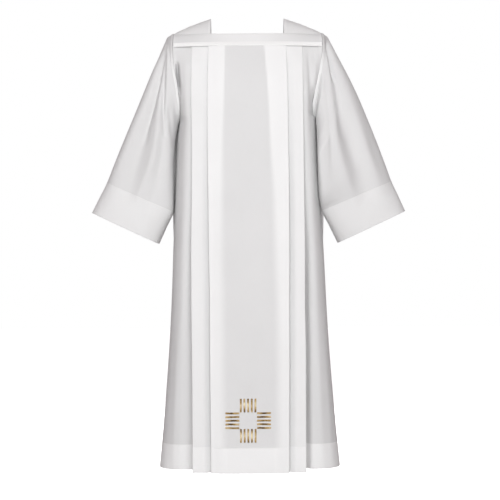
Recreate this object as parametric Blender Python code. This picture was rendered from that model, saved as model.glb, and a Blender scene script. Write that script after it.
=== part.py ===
"""A pleated, square-necked alb robe of surplice cut, worn but empty.

Metres, +Z up, the front faces -Y. The origin is the middle of the neck, level with the shoulder
tops. Every piece is a closed cloth wall of its own.
"""
import bpy
import bmesh
from math import cos, degrees, exp, pi, radians, sin
from mathutils import Vector

# ---- cloth and seams
WALL = 0.0011            # one layer of cloth, as a rigid wall
TURNING = 0.0006         # what a turned hem adds on the inside
SEAM_GAP = 0.0003        # between pieces that are sewn together
TRIM_WALL = 0.0010       # strips and bands laid on a panel

# ---- neck, shoulders and yoke
NECK_HALF_WIDTH = 0.1065
NECK_HALF_DEPTH = 0.0620
YOKE_TOP = -0.0500
YOKE_BOTTOM = -0.0850
YOKE_WALL = 0.0022
STRIP_HEIGHT = 0.0090
SHOULDER_END_X = 0.2075
SHOULDER_END_Z = -0.0450
SHOULDER_FOOT_RISE = 0.0020    # keeps the wall's inside off the yoke where it lies flat

# ---- armhole, an upright rounded opening
ARMHOLE_BOTTOM = -0.2970
ARMHOLE_HALF_DEPTH = 0.0660
ARMHOLE_UPPER_SQUARENESS = 3.4
ARMHOLE_LOWER_SQUARENESS = 2.3
ARMHOLE_BAND_WIDTH = 0.0085
ARMHOLE_GAP = 0.0008
ARMHOLE_X = (  # height, distance from the middle
    (-0.045, 0.2075),
    (-0.085, 0.2085),
    (-0.140, 0.2090),
    (-0.210, 0.2015),
    (-0.255, 0.1970),
    (-0.297, 0.1990),
)

# ---- body
HEM_Z = -1.3060
HEM_DEPTH = 0.0720
HEM_STEP = 0.0015             # height over which a wall thickens into its turned hem
CENTRE_HALF_WIDTH = 0.1110    # edge of the centre panel
CENTRE_FLAT_HALF_WIDTH = 0.0740
CENTRE_UNDERLAY = 0.0550      # how far its fold runs back underneath
SECOND_HALF_WIDTH = 0.1590    # edge of the layer under the centre panel
SECOND_UNDERLAY = 0.0440
FOLD_RADIUS_TOP = 0.0009      # pressed flat under the yoke
FOLD_RADIUS_HEM = 0.0016
# The body at a few heights: half width at the side seam, and how far forward the centre panel,
# the edge of the second layer and the root of the side panel stand.
BODY_COLUMNS = ("z", "half_width", "centre", "second", "side", "roundness")
BODY_STATIONS = (
    (-0.0850, 0.2085, 0.0860, 0.0735, 0.0690, 0.10),
    (-0.1500, 0.2090, 0.1060, 0.0920, 0.0850, 0.20),
    (-0.2300, 0.1990, 0.1180, 0.1050, 0.0940, 0.45),
    (-0.2970, 0.1990, 0.1240, 0.1110, 0.0970, 0.75),
    (-0.3840, 0.2040, 0.1300, 0.1165, 0.0980, 0.80),
    (-0.5480, 0.2115, 0.1420, 0.1280, 0.0990, 0.72),
    (-0.6770, 0.2190, 0.1520, 0.1375, 0.1000, 0.62),
    (-0.8820, 0.2284, 0.1670, 0.1520, 0.1000, 0.48),
    (-1.1750, 0.2503, 0.1895, 0.1710, 0.1010, 0.34),
    (-1.3060, 0.2630, 0.2000, 0.1780, 0.1020, 0.30),
)
BODY_ROWS = (
    -0.115, -0.150, -0.190, -0.230, -0.262, -0.284, -0.297, -0.384, -0.548, -0.677, -0.882, -1.040,
)
BACK_DEPTH = 1.00             # the back stands as far out as the front

# ---- sleeves
SLEEVE_POINTS = 28
CUFF_SEAM = 8                 # the station where the sleeve's turned hem begins
# Each station: the outer and inner line of the sleeve, and half its depth front to back.
SLEEVE_COLUMNS = ("outer_x", "outer_z", "inner_x", "inner_z", "half_depth", "swing")
SLEEVE_STATIONS = (
    (0.2320, -0.0540, 0.2125, -0.3040, 0.0665, 0.00),
    (0.2420, -0.0700, 0.2142, -0.3170, 0.0670, 0.08),
    (0.2590, -0.1080, 0.2156, -0.3400, 0.0690, 0.30),
    (0.2850, -0.1660, 0.2166, -0.3750, 0.0710, 0.70),
    (0.3110, -0.2260, 0.2172, -0.4200, 0.0730, 1.00),
    (0.3400, -0.2960, 0.2178, -0.4700, 0.0750, 1.00),
    (0.3690, -0.3670, 0.2182, -0.5200, 0.0775, 0.90),
    (0.3930, -0.4270, 0.2186, -0.5480, 0.0800, 0.70),
    (0.4135, -0.4790, 0.2196, -0.5640, 0.0820, 0.50),
    (0.4355, -0.5220, 0.2412, -0.6100, 0.0835, 0.30),
    (0.4571, -0.5645, 0.2628, -0.6561, 0.0850, 0.10),
)
SLEEVE_FOLD_COLUMNS = ("head", "cuff", "first", "last", "depth", "width")
SLEEVE_FOLDS = (  # angles round the sleeve in degrees, stations, depth, and width in degrees
    (42, 68, 1.0, 9.0, 0.0110, 15),
    (138, 128, 3.0, 9.5, 0.0065, 13),
    (300, 288, 1.5, 9.0, 0.0100, 16),
    (235, 242, 3.0, 9.0, 0.0060, 14),
)
# The +X sleeve's inner line hangs a little forward of and over the body's side, and its elbow
# stands out further; each is multiplied by the station's swing.
INNER_LINE_FORWARD = {-1: 0.000, 1: 0.075}
INNER_LINE_INWARD = {-1: 0.000, 1: 0.011}
ELBOW_OUTWARD = {-1: -0.003, 1: 0.009}

# ---- embroidered cross on the centre panel
CROSS_X = -0.0040
CROSS_Z = -1.1580
BAR_LENGTH = 0.0400
BAR_WIDTH = 0.0050
BAR_PITCH = 0.0103
BAR_RAISE = 0.0008
BARS_PER_GROUP = 5
CROSS_HALF_GAP = 0.0245

WHITE = (0.86, 0.86, 0.85, 1.0)
BRIGHT_WHITE = (0.91, 0.91, 0.90, 1.0)
GOLD = (0.36, 0.21, 0.07, 1.0)


def clear_scene():
    for obj in list(bpy.data.objects):
        bpy.data.objects.remove(obj, do_unlink=True)


def material(name, color, roughness, metallic=0.0):
    made = bpy.data.materials.new(name)
    made.use_nodes = True
    shader = made.node_tree.nodes["Principled BSDF"]
    shader.inputs["Base Color"].default_value = color
    shader.inputs["Roughness"].default_value = roughness
    shader.inputs["Metallic"].default_value = metallic
    return made


def between(a, b, share):
    return a + (b - a) * share


def read_table(table, columns, z):
    """The named values of a table at height z, straight between its rows."""
    rows = [row for row in table if row[0] >= z]
    upper = rows[-1] if rows else table[0]
    lower = table[min(table.index(upper) + 1, len(table) - 1)]
    share = 0.0 if lower is upper else (z - upper[0]) / (lower[0] - upper[0])
    share = min(max(share, 0.0), 1.0)
    return {name: between(a, b, share) for name, a, b in zip(columns, upper, lower)}


def armhole_x(z):
    return read_table(ARMHOLE_X, ("z", "x"), z)["x"]


def armhole_depth(z):
    """Half the armhole's depth, front to back, at height z."""
    middle = (SHOULDER_END_Z + ARMHOLE_BOTTOM) / 2
    share = abs(z - middle) / ((SHOULDER_END_Z - ARMHOLE_BOTTOM) / 2)
    power = ARMHOLE_UPPER_SQUARENESS if z > middle else ARMHOLE_LOWER_SQUARENESS
    return ARMHOLE_HALF_DEPTH * max(0.0, 1 - min(share, 1.0) ** power) ** (1 / power)


def add_object(name, mesh, cloth):
    obj = bpy.data.objects.new(name, mesh)
    bpy.context.scene.collection.objects.link(obj)
    mesh.materials.append(cloth)
    return obj


def add_wall(name, outer, inner, cloth, ring=False):
    """A closed wall between two grids of points, rows by columns; a ring's columns wrap round."""
    build = bmesh.new()
    rows, columns = len(outer), len(outer[0])
    skins = [[[build.verts.new(p) for p in row] for row in grid] for grid in (outer, inner)]
    spans = columns if ring else columns - 1
    for skin in skins:
        for i in range(rows - 1):
            for j in range(spans):
                k = (j + 1) % columns
                build.faces.new((skin[i][j], skin[i][k], skin[i + 1][k], skin[i + 1][j]))
    front, back = skins
    for i in (0, rows - 1):
        for j in range(spans):
            k = (j + 1) % columns
            build.faces.new((front[i][j], front[i][k], back[i][k], back[i][j]))
    if not ring:
        for j in (0, columns - 1):
            for i in range(rows - 1):
                build.faces.new((front[i][j], front[i + 1][j], back[i + 1][j], back[i][j]))
    bmesh.ops.recalc_face_normals(build, faces=build.faces)
    mesh = bpy.data.meshes.new(name)
    build.to_mesh(mesh)
    build.free()
    mesh.shade_smooth()
    mesh.set_sharp_from_angle(angle=radians(40))
    return add_object(name, mesh, cloth)


# ---- body panels

def fold_radius(z):
    share = (YOKE_BOTTOM - z) / (YOKE_BOTTOM - HEM_Z)
    return between(FOLD_RADIUS_TOP, FOLD_RADIUS_HEM, min(max(share, 0.0), 1.0))


def folded(x, y, radius, way):
    """The round turn of a pressed fold whose outermost point is at x."""
    root = x - way * radius
    return [(root, y), (x, y + radius), (root, y + 2 * radius)]


def half_section(z, edge_y):
    """One half of the front's section at height z, from the middle to its edge.

    The y values are depths behind the plane of the centre panel, which lies at zero.
    """
    at = read_table(BODY_STATIONS, BODY_COLUMNS, z)
    r = fold_radius(z)
    second = at["centre"] - at["second"]
    side = at["centre"] - at["side"]
    edge = at["centre"] - edge_y
    bend = second * 0.35
    underlay = bend + 2 * r
    inner_fold = CENTRE_HALF_WIDTH - CENTRE_UNDERLAY
    second_fold = SECOND_HALF_WIDTH - SECOND_UNDERLAY
    second = max(second, underlay + 2 * r)
    side = max(side, second + 4 * r)
    points = [(0.0, 0.0), (CENTRE_FLAT_HALF_WIDTH / 2, 0.0), (CENTRE_FLAT_HALF_WIDTH, 0.0)]
    points += folded(CENTRE_HALF_WIDTH, bend, r, 1)
    points += folded(inner_fold, underlay, r, -1)
    points += [(CENTRE_HALF_WIDTH - 0.004, between(underlay + 2 * r, second, 0.55))]
    points += folded(SECOND_HALF_WIDTH, second, r, 1)
    points += folded(second_fold, between(second + 2 * r, side - 2 * r, 0.6), r, -1)
    points += side_panel(at, side, edge, z)
    return points


def side_panel(at, side, edge, z):
    """The side panel, from under the second layer round to the side seam or the armhole."""
    x0 = SECOND_HALF_WIDTH + 0.002
    x1 = at["half_width"] if z <= ARMHOLE_BOTTOM else armhole_x(z)
    straight = ((x0 + x1) / 2, (side + edge) / 2)
    corner = (x1 + 0.002, side - 0.010)
    cx = between(straight[0], corner[0], at["roundness"])
    cy = between(straight[1], corner[1], at["roundness"])
    points = []
    for step in (0.0, 0.22, 0.42, 0.60, 0.80, 1.0):
        a, b, c = (1 - step) ** 2, 2 * step * (1 - step), step ** 2
        points.append((a * x0 + b * cx + c * x1, a * side + b * cy + c * edge))
    return points


def offset_path(path, distance, square_ends):
    """A path moved sideways by a distance, to the right of its direction."""
    moved = []
    for i, point in enumerate(path):
        here = Vector(point)
        before = (here - Vector(path[i - 1])).normalized() if i else None
        after = (Vector(path[i + 1]) - here).normalized() if i < len(path) - 1 else None
        along = (before or after) + (after or before)
        along.normalize()
        normal = Vector((along.y, -along.x))
        if square_ends and i in (0, len(path) - 1):
            normal = Vector((-1.0 if i == 0 else 1.0, 0.0))
            moved.append(here + normal * distance)
            continue
        stretch = normal.dot(Vector(((after or before).y, -(after or before).x)))
        moved.append(here + normal * distance / max(stretch, 0.35))
    return moved


def body_panel(name, face, cloth):
    """The front (face -1) or the back (face 1), with its pleats and its turned hem."""
    depth = 1.0 if face < 0 else BACK_DEPTH
    seam = HEM_Z + HEM_DEPTH
    top = YOKE_BOTTOM - SEAM_GAP
    rows = [(top, 0.0)] + [(z, 0.0) for z in BODY_ROWS]
    rows += [(seam + HEM_STEP, 0.0), (seam, TURNING), (HEM_Z, TURNING)]
    outer, inner = [], []
    for z, turning in rows:
        at = read_table(BODY_STATIONS, BODY_COLUMNS, z)
        edge_y = armhole_depth(z) if z > ARMHOLE_BOTTOM else SEAM_GAP / 2
        half = half_section(z, edge_y / depth if z > ARMHOLE_BOTTOM else SEAM_GAP / 2)
        plane = at["centre"]
        right = [(x, (y - plane) * depth) for x, y in half]
        left = [(-x, y) for x, y in right[:0:-1]]
        path = left + right
        square = z <= ARMHOLE_BOTTOM
        skins = (offset_path(path, WALL / 2, square), offset_path(path, -WALL / 2 - turning, square))
        for grid, skin in zip((outer, inner), skins):
            grid.append([(p.x, -face * p.y, z) for p in skin])
    return add_wall(name, outer, inner, cloth)


# ---- yoke

def yoke_depth(x, z):
    """How far the outside of the yoke band stands out from the middle plane."""
    share = (YOKE_TOP - z) / (YOKE_TOP - YOKE_BOTTOM)
    front = read_table(BODY_STATIONS, BODY_COLUMNS, YOKE_BOTTOM)["centre"] + WALL / 2
    middle = between(NECK_HALF_DEPTH, front, share)
    edge = armhole_depth(z) + WALL / 2
    bent = max(abs(x) - CENTRE_FLAT_HALF_WIDTH, 0.0) / (armhole_x(z) - CENTRE_FLAT_HALF_WIDTH)
    return between(middle, edge, bent ** 1.6)


def yoke_piece(name, face, top, bottom, out, wall, end_gap, cloth):
    """A straight piece of the yoke, from armhole to armhole, out from the yoke's own surface."""
    shares = [-1, -0.94, -0.87, -0.79, -0.70, -0.60, -0.48, -0.355]
    shares = shares + [0.0] + [-s for s in reversed(shares)]
    outer, inner = [], []
    for z in (top, (top + bottom) / 2, bottom):
        half = armhole_x(z) - end_gap
        columns = [share * half for share in shares]
        outer.append([(x, face * (yoke_depth(x, z) + out), z) for x in columns])
        inner.append([(x, face * (yoke_depth(x, z) + out - wall), z) for x in columns])
    return add_wall(name, outer, inner, cloth)


def shoulder_ridge(x):
    """Height of the shoulder's top line, from the neck to the armhole."""
    share = (x - NECK_HALF_WIDTH) / (SHOULDER_END_X - NECK_HALF_WIDTH)
    return SHOULDER_END_Z * (0.82 * share + 0.18 * share ** 3)


def shoulder_piece(name, side, cloth):
    """The single piece over one shoulder, between the two yoke bands."""
    foot = YOKE_TOP + SEAM_GAP
    outer, inner = [], []
    for i in range(9):
        x = between(NECK_HALF_WIDTH, SHOULDER_END_X, i / 8)
        ridge = shoulder_ridge(x)
        depth = yoke_depth(x, foot)
        power = between(1.9, ARMHOLE_UPPER_SQUARENESS, i / 8)
        outer_row, inner_row = [], []
        for j in range(17):
            share = -cos(pi * j / 16)
            z = between(ridge, foot, abs(share) ** power)
            outer_row.append((side * x, depth * share, z))
            lowest = foot + SHOULDER_FOOT_RISE * (1 - abs(share))
            inner_row.append((side * x, (depth - WALL) * share, max(z - WALL, lowest)))
        outer.append(outer_row)
        inner.append(inner_row)
    return add_wall(name, outer, inner, cloth)


# ---- sleeves

def armhole_ring(side):
    """The sleeve's first ring, just outside the armhole."""
    middle = (SHOULDER_END_Z + ARMHOLE_BOTTOM) / 2
    half = (SHOULDER_END_Z - ARMHOLE_BOTTOM) / 2
    ring = []
    for j in range(SLEEVE_POINTS):
        angle = 2 * pi * j / SLEEVE_POINTS
        z = middle + half * cos(angle)
        y = armhole_depth(z) * (-1 if sin(angle) > 0 else 1)
        lower = min(max(2 * (middle - z) / half, 0.0), 1.0)
        x = armhole_x(z) + ARMHOLE_GAP + WALL / 2 * lower
        ring.append(Vector((side * x, y, z)))
    return ring


def sleeve_trough(degrees_round, station):
    """How deep the sleeve's troughs run at an angle and a station."""
    total = 0.0
    for row in SLEEVE_FOLDS:
        fold = dict(zip(SLEEVE_FOLD_COLUMNS, row))
        along = (station - fold["first"]) / (fold["last"] - fold["first"])
        if 0 < along < 1:
            off = degrees_round - between(fold["head"], fold["cuff"], along)
            total += fold["depth"] * sin(pi * along) ** 0.8 * exp(-(off / fold["width"]) ** 2)
    return total


def sleeve_ring(side, station):
    """The middle of the sleeve's wall at one station."""
    at = dict(zip(SLEEVE_COLUMNS, SLEEVE_STATIONS[station]))
    upper = Vector((at["outer_x"], 0.0, at["outer_z"]))
    lower = Vector((at["inner_x"], 0.0, at["inner_z"]))
    middle, across = (upper + lower) / 2, (upper - lower) / 2
    ring = []
    for j in range(SLEEVE_POINTS):
        angle = 2 * pi * j / SLEEVE_POINTS
        trough = sleeve_trough(degrees(angle), station)
        inner_share = (1 - cos(angle)) / 2 * at["swing"]
        outer_share = (1 + cos(angle)) / 2 * at["swing"]
        point = middle + across * cos(angle) * (1 - trough / across.length)
        point.y = (trough - at["half_depth"]) * sin(angle)
        point.y -= INNER_LINE_FORWARD[side] * inner_share
        point.x += ELBOW_OUTWARD[side] * outer_share - INNER_LINE_INWARD[side] * inner_share
        point.x *= side
        ring.append(point)
    return ring


def stepped(ring, towards, distance):
    """A ring moved a set distance towards another."""
    return [a + (b - a).normalized() * distance for a, b in zip(ring, towards)]


def sleeve_rings(side):
    """The middle of the sleeve's wall, ring by ring, with one at the armhole band's far edge."""
    stations = [sleeve_ring(side, i) for i in range(len(SLEEVE_STATIONS))]
    armhole = armhole_ring(side)
    above_cuff = stepped(stations[CUFF_SEAM], stations[CUFF_SEAM - 1], HEM_STEP)
    rings = [armhole, stepped(armhole, stations[0], ARMHOLE_BAND_WIDTH)]
    return rings + stations[:CUFF_SEAM] + [above_cuff] + stations[CUFF_SEAM:]


def ring_normals(rings, side):
    """Outward directions at every point of a tube; square to the sleeve at the armhole."""
    normals = []
    count = SLEEVE_POINTS
    for i, ring in enumerate(rings):
        before, after = rings[max(i - 1, 0)], rings[min(i + 1, len(rings) - 1)]
        row = []
        for j in range(count):
            round_way = ring[(j + 1) % count] - ring[j - 1]
            normal = round_way.cross(after[j] - before[j]) * side
            if i == 0:
                normal.x = 0.0
            row.append(normal.normalized())
        normals.append(row)
    return normals


def moved_out(rings, normals, distances):
    return [
        [p + n * distance for p, n in zip(ring, row)]
        for ring, row, distance in zip(rings, normals, distances)
    ]


def sleeve(name, side, cloth):
    rings = sleeve_rings(side)
    normals = ring_normals(rings, side)
    hem_from = 2 + CUFF_SEAM + 1
    insides = [-WALL / 2 - (TURNING if i >= hem_from else 0.0) for i in range(len(rings))]
    outer = moved_out(rings, normals, [WALL / 2] * len(rings))
    return add_wall(name, outer, moved_out(rings, normals, insides), cloth, ring=True)


def armhole_band(name, side, cloth):
    """The flat-felled seam round an armhole, lying on the sleeve's first stretch."""
    rings = sleeve_rings(side)
    normals = ring_normals(rings, side)
    low = [WALL / 2 + SEAM_GAP] * 2
    high = [distance + TRIM_WALL for distance in low]
    outer, inner = (moved_out(rings[:2], normals[:2], out) for out in (high, low))
    return add_wall(name, outer, inner, cloth, ring=True)


# ---- embroidered cross

def centre_panel_front(z):
    """Where the outside of the flat centre panel lies at height z."""
    rows = sorted((YOKE_BOTTOM - SEAM_GAP, *BODY_ROWS, HEM_Z + HEM_DEPTH + HEM_STEP), reverse=True)
    upper = min(row for row in rows if row >= z)
    lower = max(row for row in rows if row <= z)
    centre = [read_table(BODY_STATIONS, BODY_COLUMNS, row)["centre"] for row in (upper, lower)]
    share = 0.0 if upper == lower else (z - upper) / (lower - upper)
    return -between(*centre, share) - WALL / 2


def cross_bar(name, x, z, width, height, gold):
    """One bar of stitching, a thin plate just proud of the panel."""
    outer, inner = [], []
    for row_z in (z + height / 2, z - height / 2):
        y = centre_panel_front(row_z) - SEAM_GAP
        columns = (x - width / 2, x + width / 2)
        inner.append([(column, y, row_z) for column in columns])
        outer.append([(column, y - BAR_RAISE, row_z) for column in columns])
    return add_wall(name, outer, inner, gold)


def embroidered_cross(gold):
    reach = CROSS_HALF_GAP + BAR_LENGTH / 2
    number = 1
    for group_x, group_z in ((0, reach), (0, -reach), (-reach, 0), (reach, 0)):
        for i in range(BARS_PER_GROUP):
            step = (i - (BARS_PER_GROUP - 1) / 2) * BAR_PITCH
            upright = group_x == 0
            x = CROSS_X + (step if upright else group_x)
            z = CROSS_Z + (group_z if upright else -step)
            size = (BAR_WIDTH, BAR_LENGTH) if upright else (BAR_LENGTH, BAR_WIDTH)
            cross_bar(f"cross_bar_{number:02d}", x, z, *size, gold)
            number += 1


def build_robe():
    clear_scene()
    cloth = material("robe_cloth", WHITE, 0.75)
    trim = material("robe_trim", BRIGHT_WHITE, 0.7)
    gold = material("gold_thread", GOLD, 0.45)
    strip_top = YOKE_BOTTOM + STRIP_HEIGHT
    for face, where in ((-1, "front"), (1, "back")):
        body_panel(where, face, cloth)
        yoke_piece(f"yoke_band_{where}", face, YOKE_TOP, YOKE_BOTTOM, 0.0, YOKE_WALL, 0.0, cloth)
        out = SEAM_GAP + TRIM_WALL
        yoke_piece(f"yoke_strip_{where}", face, strip_top, YOKE_BOTTOM, out, TRIM_WALL, 0.002, trim)
    for side, where in ((-1, "right"), (1, "left")):
        shoulder_piece(f"shoulder_{where}", side, cloth)
        sleeve(f"sleeve_{where}", side, cloth)
        armhole_band(f"armhole_band_{where}", side, trim)
    embroidered_cross(gold)


build_robe()
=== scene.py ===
import bpy
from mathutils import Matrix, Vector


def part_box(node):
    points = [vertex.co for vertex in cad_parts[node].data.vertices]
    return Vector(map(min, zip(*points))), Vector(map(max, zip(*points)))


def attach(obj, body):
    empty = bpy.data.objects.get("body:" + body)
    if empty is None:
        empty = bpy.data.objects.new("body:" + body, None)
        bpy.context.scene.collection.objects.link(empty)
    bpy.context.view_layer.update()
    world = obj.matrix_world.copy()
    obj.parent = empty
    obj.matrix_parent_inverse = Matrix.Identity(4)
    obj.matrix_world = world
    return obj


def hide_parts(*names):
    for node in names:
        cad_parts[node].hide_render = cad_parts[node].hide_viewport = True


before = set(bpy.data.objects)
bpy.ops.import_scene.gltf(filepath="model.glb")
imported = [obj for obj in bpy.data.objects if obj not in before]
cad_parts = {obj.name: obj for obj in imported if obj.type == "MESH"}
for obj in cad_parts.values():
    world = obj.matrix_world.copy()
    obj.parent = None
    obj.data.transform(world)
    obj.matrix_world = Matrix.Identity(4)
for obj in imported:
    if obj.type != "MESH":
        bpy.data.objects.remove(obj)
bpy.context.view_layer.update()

import bpy
from math import cos, pi, radians, sin

import numpy as np
from mathutils import Vector

# Metres, +Z up, the front faces -Y, and +X is the robe's left. Every cloth piece is one sheet, folded
# and hung on the form of the node that it stands for, then given its thickness.

clothThickness = 0.0005
layerGap = 0.0011          # from a hem's outer layer to its turned-up layer
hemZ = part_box("front")[0][2]
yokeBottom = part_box("yoke_band_front")[0][2]
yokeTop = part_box("yoke_band_front")[1][2]
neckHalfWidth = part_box("shoulder_left")[0][0]


turnAngles = np.linspace(0, pi, 7)[1:-1]      # the steps round a turned edge


def between(a, b, share):
    return a + (b - a) * share


def spread(values, count):
    # one value for each row, repeated along the row
    return np.repeat(values[:, None], count, 1)


def closeRing(grid):
    return np.concatenate([grid, grid[:, :1]], 1)


def addObject(name, data):
    made = bpy.data.objects.new(name, data)
    bpy.context.scene.collection.objects.link(made)
    return made


def ramp(x, start, end):
    # soft step from 0 at start to 1 at end
    t = np.clip((np.asarray(x) - start) / (end - start), 0.0, 1.0)
    return t * t * (3 - 2 * t)


def curveThrough(places, values, at):
    # a smooth curve through rising places that never overshoots its values
    x, y = np.array(places, float), np.array(values, float)
    rise = np.diff(y) / np.diff(x)
    slope = np.concatenate([[rise[0]], np.zeros(len(x) - 2), [rise[-1]]])
    same = rise[:-1] * rise[1:] > 0
    both = 2 * rise[:-1] * rise[1:] / np.where(same, rise[:-1] + rise[1:], 1.0)
    slope[1:-1] = np.where(same, both, 0.0)
    at = np.clip(np.asarray(at, float), x[0], x[-1])
    i = np.clip(np.searchsorted(x, at, side="right") - 1, 0, len(x) - 2)
    step = x[i + 1] - x[i]
    t = (at - x[i]) / step
    h00, h10 = (1 + 2 * t) * (1 - t) ** 2, t * (1 - t) ** 2
    h01, h11 = t * t * (3 - 2 * t), t * t * (t - 1)
    return h00 * y[i] + h10 * step * slope[i] + h01 * y[i + 1] + h11 * step * slope[i + 1]


def column(rows, name, names, at):
    # one named column of a table, read at values of its first column
    table = sorted(rows)
    return curveThrough([row[0] for row in table], [row[names.index(name)] for row in table], at)


# the pieces' own sizes

armhole = {
    "top": -0.045,
    "bottom": -0.297,
    "halfDepth": 0.066,
    "upperSquareness": 3.4,
    "lowerSquareness": 2.3,
    "gap": 0.0008,
    "columns": ("z", "x"),
    "line": (
        (-0.045, 0.2075),
        (-0.085, 0.2085),
        (-0.14, 0.209),
        (-0.21, 0.2015),
        (-0.255, 0.197),
        (-0.297, 0.199),
    ),
    # how the seam lies off that line: rows of z, the robe's right side, its left side, and its
    # left side in front, where the sleeve is drawn in over the body
    "driftColumns": ("z", "right", "left", "leftFront"),
    "drift": (
        (-0.045, 0.007, 0.0085, 0.0),
        (-0.085, 0.0075, 0.009, 0.0),
        (-0.14, 0.004, 0.0025, -0.001),
        (-0.21, 0.0, 0.0, -0.0045),
        (-0.255, 0.0, 0.0, -0.0085),
        (-0.283, 0.0, 0.0, -0.0095),
        (-0.297, 0.0, 0.0, 0.0),
    ),
}

body = {
    "hemDepth": 0.072,
    "centreHalfWidth": 0.111,          # edge of the centre panel
    "centreFlat": 0.074,
    "centreUnderlay": 0.055,           # how far its fold runs back underneath
    "secondHalfWidth": 0.159,          # edge of the layer under the centre panel
    "secondUnderlay": 0.044,
    "foldRadius": (0.0006, 0.0015),    # under the yoke, at the hem
    "seamGap": 0.0003,                 # half of it lies on each side of the side seam
    "rows": (46, 112, 12),             # down to the armhole's foot, down to the hem, and up inside it
    "stitchRows": 0.0008,              # rows of points either side of the hem's upper edge
    "stitchBelow": 0.0015,             # from the stitching to the hem's upper edge
    "heldFor": 0.05,                   # how far below the yoke the cloth still lies flat
    "bend": (0.35, 0.9, 1.3),          # the centre panel's edges bend back: share, from where, how sharply
    "lie": (0.55, 0.6),                # where the hidden folds lie between the layers
    "swell": 0.003,
    "swellFrom": (0.3, 0.345),         # distances below the shoulders
    "backSwell": 0.024,
    "backSwellFrom": (0.262, 0.306),
    "swellFade": (0.52, 0.8),
    # how far the pressed edges wander outward, on the robe's right and left
    "edgeColumns": ("z", "rightCentre", "leftCentre", "rightSecond", "leftSecond"),
    "edges": (
        (-0.085, 0.001, 0.0, 0.002, 0.0),
        (-0.237, 0.0045, 0.0035, 0.003, 0.0),
        (-0.384, 0.0042, 0.0045, 0.0015, 0.0005),
        (-0.53, 0.003, 0.005, 0.0025, 0.001),
        (-0.677, 0.002, 0.005, 0.0045, 0.0012),
        (-0.823, 0.0, 0.0035, 0.0045, 0.0),
        (-0.97, 0.0, 0.003, 0.0035, 0.0015),
        (-1.116, -0.001, 0.0015, 0.0028, 0.0008),
        (-1.306, -0.002, 0.0, 0.003, 0.0003),
    ),
    "sink": (0.45, 0.012),             # the second layer dips under the centre panel
    "sinkReach": (0.006, 0.024),
    "hollow": {-1: (0.0015, 0.008), 1: (0.019, 0.01)},    # beside the second layer: depth, width
    "hollowFrom": (0.42, 0.86),
    "columns": ("z", "halfWidth", "centre", "second", "side", "roundness"),
    "stations": (
        (-0.085, 0.2085, 0.086, 0.084, 0.0815, 0.1),
        (-0.15, 0.209, 0.106, 0.092, 0.085, 0.2),
        (-0.23, 0.199, 0.118, 0.105, 0.094, 0.62),
        (-0.297, 0.199, 0.124, 0.111, 0.097, 0.74),
        (-0.384, 0.204, 0.13, 0.1165, 0.098, 0.76),
        (-0.548, 0.2115, 0.142, 0.128, 0.099, 0.8),
        (-0.677, 0.219, 0.152, 0.1375, 0.1, 0.92),
        (-0.882, 0.2284, 0.167, 0.152, 0.1, 1.0),
        (-1.175, 0.2503, 0.1895, 0.171, 0.101, 1.0),
        (-1.306, 0.263, 0.2, 0.178, 0.102, 0.98),
    ),
}


def armholeX(z, side=0, face=0):
    x = column(armhole["line"], "x", armhole["columns"], z)
    if side:
        x = x + armholeDrift("right" if side < 0 else "left", z)
    if side > 0:
        x = x + np.where(np.asarray(face) < 0, armholeDrift("leftFront", z), 0)
    return x


def armholeDrift(name, z):
    return column(armhole["drift"], name, armhole["driftColumns"], z)


def armholeDepth(z):
    middle = (armhole["top"] + armhole["bottom"]) / 2
    share = np.abs(z - middle) / ((armhole["top"] - armhole["bottom"]) / 2)
    power = np.where(z > middle, armhole["upperSquareness"], armhole["lowerSquareness"])
    return armhole["halfDepth"] * np.maximum(0.0, 1 - np.minimum(share, 1.0) ** power) ** (1 / power)


def bodyAt(z):
    names = body["columns"]
    return {name: float(column(body["stations"], name, names, z)) for name in names[1:]}


yoke = {
    "bandGap": 0.0014,         # between the two layers of the band
    "stripGap": 0.0007,
    "bandStitch": 0.0022,      # from the band's top to its stitching
    "stripStitch": 0.0034,     # from the strip's middle to its two rows of stitching
    "stripTop": yokeBottom + 0.0086,
    "stripBottom": yokeBottom - 0.0034,
    "stripOut": 0.0018,
    "endGap": 0.002,
    "neckDepth": 0.062,
    "sewn": 0.00055,           # from a seam to the cloth that is sewn to it
    "bend": 1.6,
    "pull": (0.0853, 0.15),    # distances below the shoulders
    "puckers": 0.00022,
    # the yoke band's whiteness at its ends, how much more in its middle, and where that rise starts and
    # ends: painted light, whitening the middle as if lit from above
    "bandWhitenessAndPaintedLight": (0.08, 0.8, 0.03, 0.2),
    "columns": 151,
}


def yokeDepth(x, z):
    share = np.minimum((yokeTop - z) / (yokeTop - yokeBottom), 1)
    front = bodyAt(yokeBottom)["centre"] + yoke["sewn"]
    middle = between(yoke["neckDepth"], front, share)
    edge = armholeDepth(z) + yoke["sewn"]
    flat = body["centreFlat"]
    bent = np.clip((np.abs(x) - flat) / (armholeX(z) - flat), 0, 1)
    return between(middle, edge, bent ** yoke["bend"])


def foldArc(x, y, radius, way, count=5):
    # the round turn of a pressed fold whose outermost point is at x
    angles = np.linspace(-pi / 2, pi / 2, count + 2)[1:-1]
    across, along = x - way * radius * (1 - np.cos(angles)), y + radius * (1 + np.sin(angles))
    return np.stack([across, along], 1)


def run(x0, y0, x1, y1, count, bow=0.0):
    # a stretch of cloth from one point to another, its middle bowed by some depth
    t = np.linspace(0.0, 1.0, count)
    return np.stack([between(x0, x1, t), between(y0, y1, t) + bow * np.sin(pi * t)], 1)


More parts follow.
